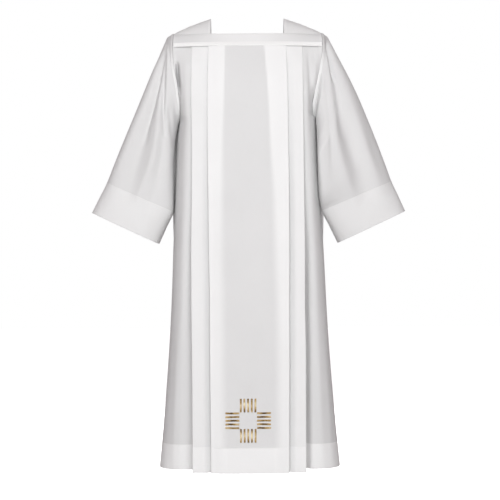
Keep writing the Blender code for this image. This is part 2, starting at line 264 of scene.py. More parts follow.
def halfSection(z, way, face):
    # one half of the body's section at a height, middle to edge, in stretches of cloth: x, and
    # depth behind the centre panel
    at = bodyAt(z)
    share = float(np.clip((yokeBottom - z) / (yokeBottom - hemZ), 0, 1))
    r = between(*body["foldRadius"], share)
    second, side = at["centre"] - at["second"], at["centre"] - at["side"]
    bendShare, bendFrom, bendPower = body["bend"]
    bend = second * bendShare
    underlay = bend + 2 * r
    innerFold = body["centreHalfWidth"] - body["centreUnderlay"]
    secondFold = body["secondHalfWidth"] - body["secondUnderlay"]
    second = max(second, underlay + 2 * r)
    side = max(side, second + 4 * r)
    middle = between(underlay + 2 * r, second, body["lie"][0])
    third = between(second + 2 * r, side - 2 * r, body["lie"][1])
    sink = min(body["sink"][0] * (side - second), body["sink"][1])
    name = "left" if way > 0 else "right"
    edgeX, secondX = (
        width + float(column(body["edges"], name + which, body["edgeColumns"], z)) * (face < 0)
        for width, which in ((body["centreHalfWidth"], "Centre"), (body["secondHalfWidth"], "Second"))
    )

    xs = np.linspace(0.0, edgeX - r, 26)
    panel = np.stack([xs, bend * ramp(xs, body["centreFlat"] * bendFrom, edgeX) ** bendPower], 1)
    parts = [
        panel,
        foldArc(edgeX, bend, r, 1),
        run(edgeX - r, underlay, innerFold + r, underlay, 9),
        foldArc(innerFold, underlay, r, -1),
        run(innerFold + r, underlay + 2 * r, edgeX - 0.004, middle + sink, 7),
        dip(edgeX - 0.001, secondX - r, second, sink),
        foldArc(secondX, second, r, 1),
        run(secondX - r, second + 2 * r, secondFold + r, third, 7),
        foldArc(secondFold, third, r, -1),
        sidePanel(at, side, z, way, face, secondX + 0.002),
    ]
    for part in parts[:-1]:
        part[:, 1] += yokePull(z) * behindYoke(part[:, 0])
    return parts


def yokePull(z):
    # near the yoke the panel takes the yoke's curve
    return 1 - float(ramp(-z, *yoke["pull"]))


def behindYoke(x):
    return bodyAt(yokeBottom)["centre"] + yoke["sewn"] - yokeDepth(x, np.full(np.shape(x), yokeBottom))


def dip(x0, x1, depth, sink):
    # the shown part of the second layer, sinking towards the centre panel's edge
    x = np.linspace(x0, x1, 16)
    before, after = body["sinkReach"]
    return np.stack([x, depth + sink * (1 - ramp(x, x0 - before, x0 + after))], 1)


def sidePanel(at, side, z, way, face, x0):
    # from under the second layer round to the side seam or the armhole
    onArmhole = z > armhole["bottom"]
    x1 = float(armholeX(z, way, face)) if onArmhole else at["halfWidth"]
    edge = at["centre"] - (float(armholeDepth(z)) if onArmhole else body["seamGap"] / 2)
    corner = (x1 + 0.002, side - 0.01)
    cx = between((x0 + x1) / 2, corner[0], at["roundness"])
    cy = between((side + edge) / 2, corner[1], at["roundness"])
    t = np.linspace(0.0, 1.0, 56)
    a, b, c = (1 - t) ** 2, 2 * t * (1 - t), t ** 2
    x = a * x0 + b * cx + c * x1
    depth, width = body["hollow"][way]
    hollow = depth * np.exp(-(((x - x0) / width) ** 2)) * float(ramp(-z, *body["hollowFrom"]))
    y = a * side + b * cy + c * edge + hollow
    end = float(armholeX(yokeBottom, way, face))
    curved = behindYoke(np.minimum(x, end)) + side * (1 - c)
    curved = curved + c * (edge - curved[-1])
    return np.stack([x, between(y, curved, yokePull(z))], 1)


# cloth made from grids of points

def offsetGrid(grid, distance, ring=False):
    # every point moved along the sheet's own normal; the distance may differ from row to row
    down = np.gradient(grid, axis=0)
    across = np.roll(grid, -1, 1) - np.roll(grid, 1, 1) if ring else np.gradient(grid, axis=1)
    normal = np.cross(across, down)
    normal /= np.maximum(np.linalg.norm(normal, axis=2, keepdims=True), 1e-12)
    return grid + normal * np.asarray(distance, float).reshape(-1, 1, 1)


def outwardOf(grid):
    # directions away from the middle of each ring
    outward = offsetGrid(grid, np.ones(len(grid)), True) - grid
    return -outward if (outward * (grid - grid.mean(1, keepdims=True))).sum() < 0 else outward


def steps(grid, axis):
    # running length along one direction of a grid
    length = np.linalg.norm(np.diff(grid, axis=axis), axis=2)
    first = np.zeros_like(np.take(length, [0], axis))
    return np.concatenate([first, np.cumsum(length, axis)], axis)


def clothPiece(name, grid, uv, whiteness, fromSeam, material, ring=False, thickness=clothThickness):
    # a closed thin shell round a grid of points; uv has one more column than a ring's grid
    rows, columns = grid.shape[:2]
    count = rows * columns
    spans = columns if ring else columns - 1
    skins = [offsetGrid(grid, np.full(rows, way * thickness / 2), ring) for way in (1, -1)]
    i, j = np.meshgrid(np.arange(rows - 1), np.arange(spans), indexing="ij")
    corners = np.stack([np.stack([i + a, j + b], -1) for a, b in ((0, 0), (0, 1), (1, 1), (1, 0))], 2)
    corners = corners.reshape(-1, 4, 2)
    faces = [(corners[:, ::-1], np.zeros(4, int)), (corners, np.ones(4, int))]
    rims = [(row, spans, False, row == 0) for row in (0, rows - 1)]
    if not ring:
        rims += [(side, rows - 1, True, side > 0) for side in (0, columns - 1)]
    for fixed, length, alongSide, ahead in rims:
        edge = np.arange(length)
        pairs = [(edge + a, np.full(length, fixed)) for a in (0, 1, 1, 0)]
        rim = np.stack([np.stack(pair if alongSide else pair[::-1], -1) for pair in pairs], 1)
        faces.append((rim if ahead else rim[:, ::-1], np.array((0, 0, 1, 1) if ahead else (1, 1, 0, 0))))
    index = np.concatenate([f[..., 0] * columns + f[..., 1] % columns + skin * count for f, skin in faces])
    spots = np.concatenate([uv[f[..., 0], f[..., 1]] for f, skin in faces])
    points = np.concatenate([skin.reshape(-1, 3) for skin in skins])
    a, b, c, d = (points[index[:, k]] for k in range(4))
    volume = (np.einsum("ij,ij->i", a, np.cross(b, c)) + np.einsum("ij,ij->i", a, np.cross(c, d))).sum()
    if volume < 0:
        index, spots = index[:, ::-1], spots[:, ::-1]
    mesh = bpy.data.meshes.new(name)
    mesh.from_pydata(points.tolist(), [], index.tolist())
    mesh.uv_layers.new(name="cut").data.foreach_set("uv", spots.reshape(-1).astype(np.float32))
    for label, values in (("whiteness", whiteness), ("fromSeam", fromSeam)):
        attribute = mesh.attributes.new(label, "FLOAT", "POINT")
        attribute.data.foreach_set("value", np.tile(values.reshape(-1), 2).astype(np.float32))
    mesh.shade_smooth()
    mesh.set_sharp_from_angle(angle=radians(65))
    mesh.materials.append(material)
    return addObject(name, mesh)


def creaseDepth(x, z, creases):
    # how far the cloth lies back at each point, from creases drawn in millimetres as lines of
    # (x, z) points; depth below zero is a ridge, and lean makes one side of a crease the steeper
    total = np.zeros_like(x)
    for depth, width, lean, *line in creases:
        depth, width, line = depth / 1000, width / 1000, np.array(line) / 1000
        lengths = np.linalg.norm(np.diff(line, axis=0), axis=1)
        whole = lengths.sum()
        nearest = np.full(x.shape, 1e9)
        along, sideways = np.zeros_like(x), np.zeros_like(x)
        done = 0.0
        for start, end, length in zip(line[:-1], line[1:], lengths):
            ux, uz = (end - start) / length
            t = np.clip((x - start[0]) * ux + (z - start[1]) * uz, 0, length)
            dx, dz = x - start[0] - t * ux, z - start[1] - t * uz
            far = np.hypot(dx, dz)
            closer = far < nearest
            nearest = np.where(closer, far, nearest)
            along = np.where(closer, (done + t) / whole, along)
            sideways = np.where(closer, dx * uz - dz * ux, sideways)
            done += length
        spread = width * (1 - lean * np.tanh(sideways / width * 1.5))
        fade = np.sin(pi * np.clip(0.06 + 0.88 * along, 0, 1)) ** 0.7
        total += depth * fade * np.exp(-(nearest / spread) ** 2)
    return total


# materials

def plug(tree, value, socket):
    # a number or a colour is set on the socket, and anything else is linked to it
    if isinstance(value, (int, float, tuple)):
        socket.default_value = value
    else:
        tree.links.new(value, socket)


def fill(tree, made, inputs):
    for name, value in inputs.items():
        plug(tree, value, made.inputs[name])


def node(tree, kind, label="", inputs=None, **settings):
    made = tree.nodes.new(kind)
    made.label = label
    for key, value in settings.items():
        setattr(made, key, value)
    fill(tree, made, inputs or {})
    return made


def combine(tree, operation, *values):
    return node(tree, "ShaderNodeMath", "", dict(enumerate(values)), operation=operation).outputs[0]


def mixColour(tree, factor, a, b, blend="MIX"):
    inputs = {0: factor, 6: a, 7: b}
    return node(tree, "ShaderNodeMix", "", inputs, data_type="RGBA", blend_type=blend).outputs[2]


def noise(tree, label, place, scale, detail, dimensions="3D"):
    inputs = {"Vector": place, "Scale": scale, "Detail": detail}
    return node(tree, "ShaderNodeTexNoise", label, inputs, noise_dimensions=dimensions).outputs["Fac"]


def remap(tree, label, value, fromMin, fromMax, toMin=0.0, toMax=1.0, kind="SMOOTHSTEP"):
    inputs = {"Value": value, "From Min": fromMin, "From Max": fromMax, "To Min": toMin, "To Max": toMax}
    return node(tree, "ShaderNodeMapRange", label, inputs, interpolation_type=kind).outputs[0]


def bump(tree, label, height, distance, strength=1.0, under=None):
    inputs = {"Height": height, "Distance": distance, "Strength": strength}
    if under is not None:
        inputs["Normal"] = under
    return node(tree, "ShaderNodeBump", label, inputs).outputs[0]


def attribute(tree, label, name):
    return node(tree, "ShaderNodeAttribute", label, attribute_name=name).outputs["Fac"]


def newMaterial(name):
    made = bpy.data.materials.new(name)
    made.use_nodes = True
    return made, made.node_tree, made.node_tree.nodes["Principled BSDF"]


def newGroup(name, inputs, outputs):
    group = bpy.data.node_groups.new(name, "ShaderNodeTree")
    for way, sockets in (("INPUT", inputs), ("OUTPUT", outputs)):
        for label, kind, *value in sockets:
            made = group.interface.new_socket(label, in_out=way, socket_type="NodeSocket" + kind)
            if value:
                made.default_value = value[0]
    return group, node(group, "NodeGroupInput").outputs, node(group, "NodeGroupOutput")


weave = {
    "thread": 0.00042,         # from one thread to the next, in metres
    "wobble": (260.0, 2.0),    # scale and detail of the threads' unevenness
    "wobbleBy": 0.0006,
    "crossings": 0.35,
    "slubStretch": (1600.0, 60.0, 1.0),
    "slubs": (1.0, 3.0),
}


def weaveGroup():
    # plain weave from the cut's own coordinates: threads both ways, a little uneven
    group, given, result = newGroup(
        "plain weave",
        (("Coordinates", "Vector"), ("Thread", "Float", weave["thread"])),
        (("Height", "Float"), ("Shade", "Float")),
    )
    place = given["Coordinates"]
    uneven = noise(group, "uneven threads", place, *weave["wobble"], "2D")
    shifted = combine(group, "MULTIPLY", uneven, weave["wobbleBy"])
    split = node(group, "ShaderNodeSeparateXYZ", "", {0: place})
    waves = []
    for axis in (0, 1):
        moved = combine(group, "ADD", split.outputs[axis], shifted)
        turned = combine(group, "DIVIDE", moved, given["Thread"])
        waves.append(combine(group, "SINE", combine(group, "MULTIPLY", turned, pi)))
    warp, weft = (combine(group, "ABSOLUTE", wave) for wave in waves)
    over = combine(group, "MULTIPLY", *waves)
    threads = combine(group, "MULTIPLY", combine(group, "ADD", warp, weft), 0.5)
    inputs = {0: place, 1: weave["slubStretch"]}
    stretched = node(group, "ShaderNodeVectorMath", "", inputs, operation="MULTIPLY").outputs[0]
    fill(group, result, {
        "Height": combine(group, "MULTIPLY_ADD", over, weave["crossings"], threads),
        "Shade": noise(group, "slubs", stretched, *weave["slubs"], "2D"),
    })
    return group


stitch = {
    "length": 0.0026,
    "width": (0.00042, 0.00018),    # from the cloth beside a thread to the thread itself
    "end": (0.42, 0.34),
    "drawnIn": (0.0024, 0.0003),
    "threadHeight": 1.4,
    "drawnDepth": 0.9,
}


def stitchGroup():
    # a row of machine stitches where the distance from a seam passes through zero
    group, given, result = newGroup(
        "machine stitches",
        (("Distance", "Float"), ("Along", "Float"), ("Length", "Float", stitch["length"])),
        (("Thread", "Float"), ("Height", "Float")),
    )
    far = combine(group, "ABSOLUTE", given["Distance"])
    turn = combine(group, "DIVIDE", given["Along"], given["Length"])
    fromMiddle = combine(group, "ABSOLUTE", combine(group, "SUBTRACT", combine(group, "FRACT", turn), 0.5))
    near = remap(group, "width of thread", far, *stitch["width"])
    dash = remap(group, "length of stitch", fromMiddle, *stitch["end"])
    sunk = remap(group, "cloth drawn in", far, *stitch["drawnIn"])
    thread = combine(group, "MULTIPLY", near, dash)
    raised = combine(group, "MULTIPLY", thread, stitch["threadHeight"])
    drawn = combine(group, "MULTIPLY", sunk, stitch["drawnDepth"])
    fill(group, result, {"Thread": thread, "Height": combine(group, "SUBTRACT", raised, drawn)})
    return group


cloth = {
    "single": (0.708, 0.706, 0.706, 1.0),    # one layer of cloth, a little see-through
    "double": (0.87, 0.87, 0.868, 1.0),      # two layers and more
    "seam": (0.905, 0.903, 0.898, 1.0),
    "roughness": 0.82,
    "threadShine": -0.06,
    "sheen": 0.12,
    "sheenRoughness": 0.45,
    "specular": 0.25,
    "clouds": (7.0, 4.0),                    # scale and detail
    "cloudShades": (0.3, 0.7, 0.975, 1.0),
    "slubShades": (0.25, 0.75, 0.985, 1.01),
    "unevenness": (42.0, 3.0),
    "unevenBump": (0.0009, 0.35),            # height and strength
    "weaveBump": (0.00006, 0.7),
    "stitchHeight": 0.00022,
}


def clothMaterial(name, groups, single, double, crispness=1.0):
    made, tree, shader = newMaterial(name)
    cut = node(tree, "ShaderNodeUVMap", uv_map="cut").outputs[0]
    place = node(tree, "ShaderNodeTexCoord").outputs["Object"]
    inputs = {"Coordinates": cut, "Thread": weave["thread"]}
    woven = node(tree, "ShaderNodeGroup", "weave", inputs, node_tree=groups["weave"]).outputs
    along = node(tree, "ShaderNodeSeparateXYZ", "", {0: cut}).outputs[0]
    inputs = {"Distance": attribute(tree, "distance from seam", "fromSeam"), "Along": along}
    stitched = node(tree, "ShaderNodeGroup", "stitches", inputs, node_tree=groups["stitches"]).outputs

    cloudy = noise(tree, "uneven pressing", place, *cloth["clouds"])
    tint = remap(tree, "faint cloudiness", cloudy, *cloth["cloudShades"], "LINEAR")
    slubs = remap(tree, "slubs", woven["Shade"], *cloth["slubShades"], "LINEAR")
    # the whiteness attribute mostly follows the layers of cloth; on the yoke bands it also holds painted
    # light
    base = mixColour(tree, attribute(tree, "cloth layers and painted light", "whiteness"), single, double)
    shaded = mixColour(tree, 1.0, base, combine(tree, "MULTIPLY", tint, slubs), "MULTIPLY")

    height, strength = cloth["weaveBump"]
    soft = noise(tree, "soft unevenness", place, *cloth["unevenness"])
    normal = bump(tree, "soft unevenness", soft, *cloth["unevenBump"])
    normal = bump(tree, "weave", woven["Height"], height * crispness, strength, normal)
    normal = bump(tree, "stitches", stitched["Height"], cloth["stitchHeight"], under=normal)
    shine, rough = cloth["threadShine"], cloth["roughness"]
    fill(tree, shader, {
        "Base Color": mixColour(tree, stitched["Thread"], shaded, cloth["seam"]),
        "Roughness": combine(tree, "MULTIPLY_ADD", woven["Height"], shine, rough),
        "Sheen Weight": cloth["sheen"],
        "Sheen Roughness": cloth["sheenRoughness"],
        "Specular IOR Level": cloth["specular"],
        "Normal": normal,
    })
    return made


groups = {"weave": weaveGroup(), "stitches": stitchGroup()}
robeCloth = clothMaterial("robeCloth", groups, cloth["single"], cloth["double"])
seamCloth = clothMaterial("seamCloth", groups, cloth["double"], cloth["seam"], 0.8)
print("cloth materials made")


# front and back

whiteZones = {
    # how far the layer folded back under the centre panel shows through it
    "columns": ("z", "left", "right"),
    "front": (
        (-0.085, -0.064, 0.048),
        (-0.237, -0.068, 0.059),
        (-0.384, -0.0725, 0.065),
        (-0.53, -0.0745, 0.0735),
        (-0.706, -0.0755, 0.0775),
        (-0.882, -0.074, 0.0815),
        (-1.306, -0.074, 0.08),
    ),
    "back": ((-0.085, -0.057, 0.06), (-0.6, -0.064, 0.066), (-1.306, -0.07, 0.073)),
    "softness": (0.005, 0.03),
    "centre": 0.02, "underlay": 0.88, "second": 0.68, "side": 0.1, "hem": 0.22,
}

frontCreases = (
    # in millimetres: depth, width, lean, then (x, z) points, with x towards the robe's left
    (6, 7.5, 0.2, (176, -100), (180, -193), (183, -267), (184, -340)),
    (2.6, 8, -0.3, (181, -78), (201, -150)),
    (2.4, 8, 0.2, (-213, -85), (-198, -164), (-188, -300)),
    (-2, 10, 0.2, (-180, -110), (-178, -240), (-184, -420)),
    (-5.5, 16, 0.1, (-184, -360), (-186, -620), (-190, -823), (-200, -1058), (-207, -1330)),
    (-3, 8, 0, (-206, -900), (-214, -1080), (-222, -1300)),
    (-6, 15, -0.1, (184, -360), (188, -620), (195, -823), (202, -1058), (211, -1330)),
    (-3, 9, 0, (214, -860), (228, -1100), (238, -1300)),
    (36, 4.2, 0.2, (-204.5, -140), (-202, -180), (-197, -222)),
    (34, 4, 0.2, (-203.5, -240), (-200, -268), (-196.5, -302)),
    (-3, 6, 0, (-198, -140), (-194, -200), (-192, -290)),
    (11, 5, -0.4, (193, -205), (190.5, -245), (188.5, -285)),
    (-3, 6, 0, (199, -120), (196, -190), (193.5, -260)),
    (1.6, 30, 0, (-20, -100), (-14, -400), (6, -760)),
    (-1.8, 34, 0, (34, -140), (30, -560), (42, -980)),
    (-1.4, 30, 0, (-62, -300), (-54, -760), (-50, -1150)),
    (1.6, 26, 0, (88, -400), (80, -840), (84, -1220)),
    (1.8, 22, 0, (-96, -560), (-102, -900), (-96, -1290)),
    (1.4, 12, 0, (-134, -100), (-137, -380), (-134, -820)),
    (-1.2, 12, 0, (136, -110), (134, -480), (138, -960)),
    (1.2, 18, 0, (20, -900), (14, -1060), (18, -1300)),
)

backCreases = (
    (2.8, 12, 0.2, (-178, -100), (-174, -240), (-170, -420)),
    (2.6, 10, -0.2, (196, -90), (186, -200), (178, -360)),
    (-5, 18, 0.1, (-184, -400), (-190, -760), (-200, -1050), (-208, -1330)),
    (-5.5, 18, -0.1, (183, -360), (188, -700), (198, -1000), (206, -1330)),
    (-3, 9, 0, (212, -900), (224, -1100), (234, -1300)),
    (-2, 34, 0, (-24, -160), (-34, -620), (-28, -1060)),
    (2, 30, 0, (28, -120), (40, -520), (30, -940)),
    (1.8, 24, 0, (-86, -400), (-80, -900), (-90, -1290)),
    (-1.6, 22, 0, (90, -520), (94, -900), (86, -1280)),
    (1.4, 12, 0, (136, -120), (132, -600), (138, -1100)),
    (-1.2, 12, 0, (-134, -200), (-138, -700), (-132, -1200)),
)


def bodyPanel(face, creases):
    # face -1 is the front and 1 the back: pleated sections, one under another, with the hem
    # turned up inside
    top = yokeBottom - body["seamGap"]
    turn = layerGap / 2
    hemTop = hemZ + body["hemDepth"]
    upperRows, lowerRows, hemRows = body["rows"]
    heights = np.concatenate([
        np.linspace(top, armhole["bottom"], upperRows),
        np.linspace(armhole["bottom"], hemZ + turn, lowerRows)[1:],
        hemTop + np.array((-1, 1)) * body["stitchRows"],
    ])
    heights = np.sort(heights)[::-1]
    rows = [(z, 0.0) for z in heights]
    rows += [(hemZ + turn - turn * sin(a), turn - turn * cos(a)) for a in turnAngles]
    rows += [(z, layerGap) for z in np.linspace(hemZ + turn, hemTop, hemRows)]
    flat = []
    for z, inward in rows:
        halves = []
        centre = bodyAt(z)["centre"]
        for way in (-1, 1):
            parts = halfSection(z, way, face)
            half = np.concatenate(parts)
            half[:, 1] -= centre
            halves.append(half)
        flat.append(np.concatenate([halves[0][:0:-1] * (-1, 1), halves[1]]))
    flat = np.array(flat)
    sideCount = len(parts[-1])
    zone = np.concatenate([np.full(len(part), k) for k, part in enumerate(parts)])
    sideShare = np.concatenate([np.zeros(len(half) - sideCount), np.linspace(0, 1, sideCount)])
    zone, sideShare = (np.concatenate([one[:0:-1], one]) for one in (zone, sideShare))
    z, inward = np.array(rows).T
    x, y = flat[..., 0], flat[..., 1]
    zz = spread(z, x.shape[1])
    held = ramp(-zz, -yokeBottom, -yokeBottom + body["heldFor"])
    held *= 1 - ramp(sideShare[None, :], 0.965, 1.0)      # meets the other panel at its edge
    lie = creaseDepth(x, zz, creases) * held
    x = x + np.sign(x) * sideSwell(zz, sideShare[None, :], face, x < 0)
    grid = np.stack([x, -face * (y + lie), zz], 2)
    if face > 0:
        grid = grid[:, ::-1]
        zone, sideShare = zone[::-1], sideShare[::-1]
    grid = grid - offsetDirection(grid) * inward[:, None, None]
    apart = body["seamGap"] / 2 + 0.0006 * (inward > 0)[:, None]     # front and back never meet
    grid[..., 1] = face * np.maximum(face * grid[..., 1], apart)
    whiteness = panelWhiteness(grid, zone, z, face)
    u = steps(grid, 1)
    u = u - u[:, u.shape[1] // 2][:, None]
    v = np.where(inward > turn, hemZ - (zz.T - hemZ) - hemZ, zz.T - hemZ).T
    fromSeam = np.where(zz > hemTop + 0.03, 1.0, zz - (hemTop - body["stitchBelow"]))
    return grid, np.stack([u, v], 2), whiteness, fromSeam


def sideSwell(z, share, face, onRight):
    # the skirt's sides stand out under the arms, the back panel's a little more than the front's
    high = 1 - ramp(-z, *body["swellFade"])
    seam = body["swell"] * ramp(share, 0.35, 1.0) * ramp(-z, *body["swellFrom"])
    bulge = np.sin(pi * np.clip((share - 0.12) / 0.76, 0, 1)) ** 1.2
    behind = body["backSwell"] * bulge * ramp(-z, *body["backSwellFrom"])
    return high * (seam * onRight + (behind if face > 0 else 0.0))    # the left sleeve needs the room


def offsetDirection(grid):
    # level outward directions along each row of a panel
    across = np.gradient(grid, axis=1)
    across[..., 2] = 0
    out = np.stack([across[..., 1], -across[..., 0], np.zeros(across.shape[:2])], 2)
    return out / np.maximum(np.linalg.norm(out, axis=2, keepdims=True), 1e-12)


def panelWhiteness(grid, zone, z, face):
    where = "front" if face < 0 else "back"
    names = whiteZones["columns"]
    left, right = (column(whiteZones[where], name, names, z)[:, None] for name in names[1:])
    x = grid[..., 0] if face < 0 else -grid[..., 0]
    soft = between(*whiteZones["softness"], ramp(-z, 0.1, 0.75))[:, None] / 2
    folded = np.maximum(1 - ramp(x, left - soft, left + soft), ramp(x, right - soft, right + soft))
    centre = between(whiteZones["centre"], whiteZones["underlay"], folded)
    white = np.where(zone[None, :] <= 1, centre, whiteZones["second"])
    white = np.where(zone[None, :] == 9, whiteZones["side"], white)
    seam, soft = hemZ + body["hemDepth"], body["stitchRows"]
    hem = ramp(-z, -seam - soft, -seam + soft)[:, None] * whiteZones["hem"]
    single = 1 - ramp(white, 0.2, 0.9)      # a hem shows more where the cloth above it is single
    return np.clip(white + hem * (1 + 3 * single), 0, 1.2)


def hang(piece, nodeNames):
    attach(piece, "root")
    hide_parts(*nodeNames)


panels = {
    "front": {"face": -1, "creases": frontCreases, "flat": (1.165, 1.295), "area": 1.36},
    "back": {"face": 1, "creases": backCreases, "flat": (1.165, 1.295), "area": 1.35},
}
made = {}
for where, panel in panels.items():
    grid, uv, whiteness, fromSeam = bodyPanel(panel["face"], panel["creases"])
    piece = clothPiece("robe_" + where, grid, uv, whiteness, fromSeam, robeCloth)
    made[where] = piece
    print(where, "panel", len(piece.data.polygons), "faces, cut", np.round(np.ptp(uv[..., 0]), 3), "wide")


# yoke bands, folded double, with a stitched strip along the foot of each

def foldedBand(face, top, bottom, out, gap, endGap, rows):
    # a band folded over along its foot: outer layer down, round the fold, inner layer up
    r = gap / 2
    columns = yoke["columns"]
    down = np.linspace(top, bottom + r, rows)
    z = np.concatenate([down, bottom + r - r * np.sin(turnAngles), down[::-1]])
    back = np.concatenate([np.zeros(rows), r - r * np.cos(turnAngles), np.full(rows, gap)])[:, None]
    share = np.linspace(-1, 1, columns)[None, :]
    right, left = (armholeX(z, side)[:, None] - endGap for side in (-1, 1))
    x = share * np.where(share < 0, right, left)
    zz = spread(z, columns)
    wave = np.sin(x * 610 + 1.7 * np.sin(x * 95)) * yoke["puckers"] * ramp(-zz, -top, -bottom)
    y = yokeDepth(x, zz) + out - back + wave
    grid = np.stack([x, face * y, zz], 2)
    if face > 0:
        grid = grid[:, ::-1]
    uv = np.stack([grid[..., 0], spread(steps(grid, 0)[:, columns // 2], columns)], 2)
    return grid, uv, zz, back > 0.0001


for face, where in ((-1, "front"), (1, "back")):
    size = (yokeTop, yokeBottom + 0.0004, -0.0003, yoke["bandGap"], 0.0004, 14)
    grid, uv, zz, hidden = foldedBand(face, *size)
    # painted light: the band's whiteness rises towards its middle, standing in for light from above on its
    # upturned cloth
    least, more, near, far = yoke["bandWhitenessAndPaintedLight"]
    white = least + more * (1 - ramp(np.abs(grid[..., 0]), near, far))
    seam = np.where(hidden, 1.0, zz - (yokeTop - yoke["bandStitch"]))
    made["yoke_" + where] = clothPiece("yoke_band_sheet_" + where, grid, uv, white, seam, robeCloth)
    size = (yoke["stripTop"], yoke["stripBottom"], yoke["stripOut"], yoke["stripGap"], yoke["endGap"], 8)
    grid, uv, zz, hidden = foldedBand(face, *size)
    middle = (yoke["stripTop"] + yoke["stripBottom"]) / 2
    seam = np.where(hidden, 1.0, np.abs(zz - middle) - yoke["stripStitch"])
    white = np.ones(zz.shape)
    strip = clothPiece("yoke_strip_sheet_" + where, grid, uv, white, seam, seamCloth, thickness=0.0003)
    made["strip_" + where] = strip
print("yoke made")


# shoulders, one piece over each, rolled at the neck

shoulder = {
    "neckHem": 0.006,
    "neckPower": 1.9,
    "ridge": (0.82, 0.18),
    "roll": 0.0006,
    "rows": 40,
    "underRows": 5,
    "columns": 65,
    "ripple": 0.0006,
    "white": (0.34, 0.3),    # single cloth, and how much more at the neck hem
}


def shoulderGrid(side):
    foot = yokeTop + 0.0003
    endX, endZ = float(armholeX(armhole["top"], side)), armhole["top"]
    r = shoulder["roll"]
    out = np.linspace(neckHalfWidth + r, endX, shoulder["rows"])
    count = shoulder["underRows"]
    under = np.linspace(neckHalfWidth + r, neckHalfWidth + shoulder["neckHem"], count)
    x = np.concatenate([under[::-1], neckHalfWidth + r - r * np.sin(turnAngles), out])
    sink = np.concatenate([np.full(count, 2 * r), r + r * np.cos(turnAngles), np.zeros(len(out))])
    grid = np.zeros((len(x), shoulder["columns"], 3))
    around = -np.cos(np.linspace(0, pi, shoulder["columns"]))
    for i, (xi, drop) in enumerate(zip(x, sink)):
        share = (xi - neckHalfWidth) / (endX - neckHalfWidth)
        ridge = endZ * (shoulder["ridge"][0] * share + shoulder["ridge"][1] * share ** 3)
        depth = float(yokeDepth(np.array(xi), np.array(foot))) - drop - 0.0004
        power = between(shoulder["neckPower"], armhole["upperSquareness"], share)
        z = between(ridge - drop, foot, np.abs(around) ** power)
        wave = np.sin(share * 9 + around * 4 * side) * (1 - around ** 2) * ramp(share, 0.05, 0.4)
        sag = np.abs(shoulder["ripple"] * wave)
        grid[i] = np.stack([np.full(len(z), side * xi), depth * around, z - sag], 1)
    return grid, x, sink


for side, where in ((-1, "right"), (1, "left")):
    grid, x, sink = shoulderGrid(side)
    count, middle = shoulder["columns"], shoulder["columns"] // 2
    hemEnd = neckHalfWidth + shoulder["neckHem"]
    least, more = shoulder["white"]
    white = spread(least + more * (1 - ramp(x, hemEnd, hemEnd + 0.001)), count)
    seam = spread(np.where(sink > 0, 1.0, x - hemEnd + 0.001), count)
    uv = np.stack([steps(grid, 1), spread(steps(grid, 0)[:, middle], count)], 2)
    made["shoulder_" + where] = clothPiece("shoulder_sheet_" + where, grid, uv, white, seam, robeCloth)
print("shoulders made")


# sleeves

sleeve = {
    "columns": ("outerX", "outerZ", "innerX", "innerZ", "halfDepth", "swing"),
    "stations": (
        (0.2335, -0.0535, 0.205, -0.317, 0.0665, 0.0),
        (0.242, -0.07, 0.2095, -0.338, 0.067, 0.08),
        (0.259, -0.108, 0.213, -0.362, 0.069, 0.3),
        (0.285, -0.166, 0.2152, -0.39, 0.071, 0.7),
        (0.311, -0.226, 0.2172, -0.42, 0.073, 1.0),
        (0.34, -0.296, 0.2178, -0.47, 0.075, 1.0),
        (0.369, -0.367, 0.2182, -0.52, 0.0775, 0.9),
        (0.393, -0.427, 0.2186, -0.548, 0.08, 0.7),
        (0.4135, -0.479, 0.2196, -0.564, 0.082, 0.5),
        (0.4355, -0.522, 0.2412, -0.61, 0.0835, 0.3),
        (0.4571, -0.5645, 0.2628, -0.6561, 0.085, 0.1),
    ),
    "seamStation": 8,
    "innerForward": {-1: 0.0, 1: 0.075},
    "innerInward": {-1: 0.0, 1: 0.011},
    "elbowOut": {-1: -0.003, 1: 0.009},
    "around": 150,
    "fullness": 0.6,           # how square a section is, and how much more so along the underarm
    "crispness": 0.12,
    "white": (0.06, 0.44),     # single cloth, and how much more at the hem
    "stitchRows": 0.016,       # rows of points either side of the hem's upper edge
    "stitchBelow": 0.0015,
    "settle": (-0.75, 0.6),    # creases begin below the armhole, and flatten towards the cuff
    "flatten": (8.6, 0.85),
    "ripple": (0.0009, 8.4),
    "overlapSpread": (30.0, 46.0),
    # the robe's left sleeve hangs over the body's side in front: stations, inward and forward
    "overlapColumns": ("station", "inward", "forward", "angle"),
    "overlap": (
        (-1.0, 0.0, 0.0, 128),
        (-0.4, 0.005, 0.008, 130),
        (0.0, 0.0105, 0.017, 133),
        (1.0, 0.0145, 0.026, 137),
        (2.0, 0.014, 0.026, 144),
        (3.3, 0.011, 0.021, 155),
        (4.7, 0.0065, 0.013, 166),
        (6.5, 0.0025, 0.005, 178),
        (8.0, 0.0, 0.0, 180),
        (10.0, 0.0, 0.0, 180),
    ),
}

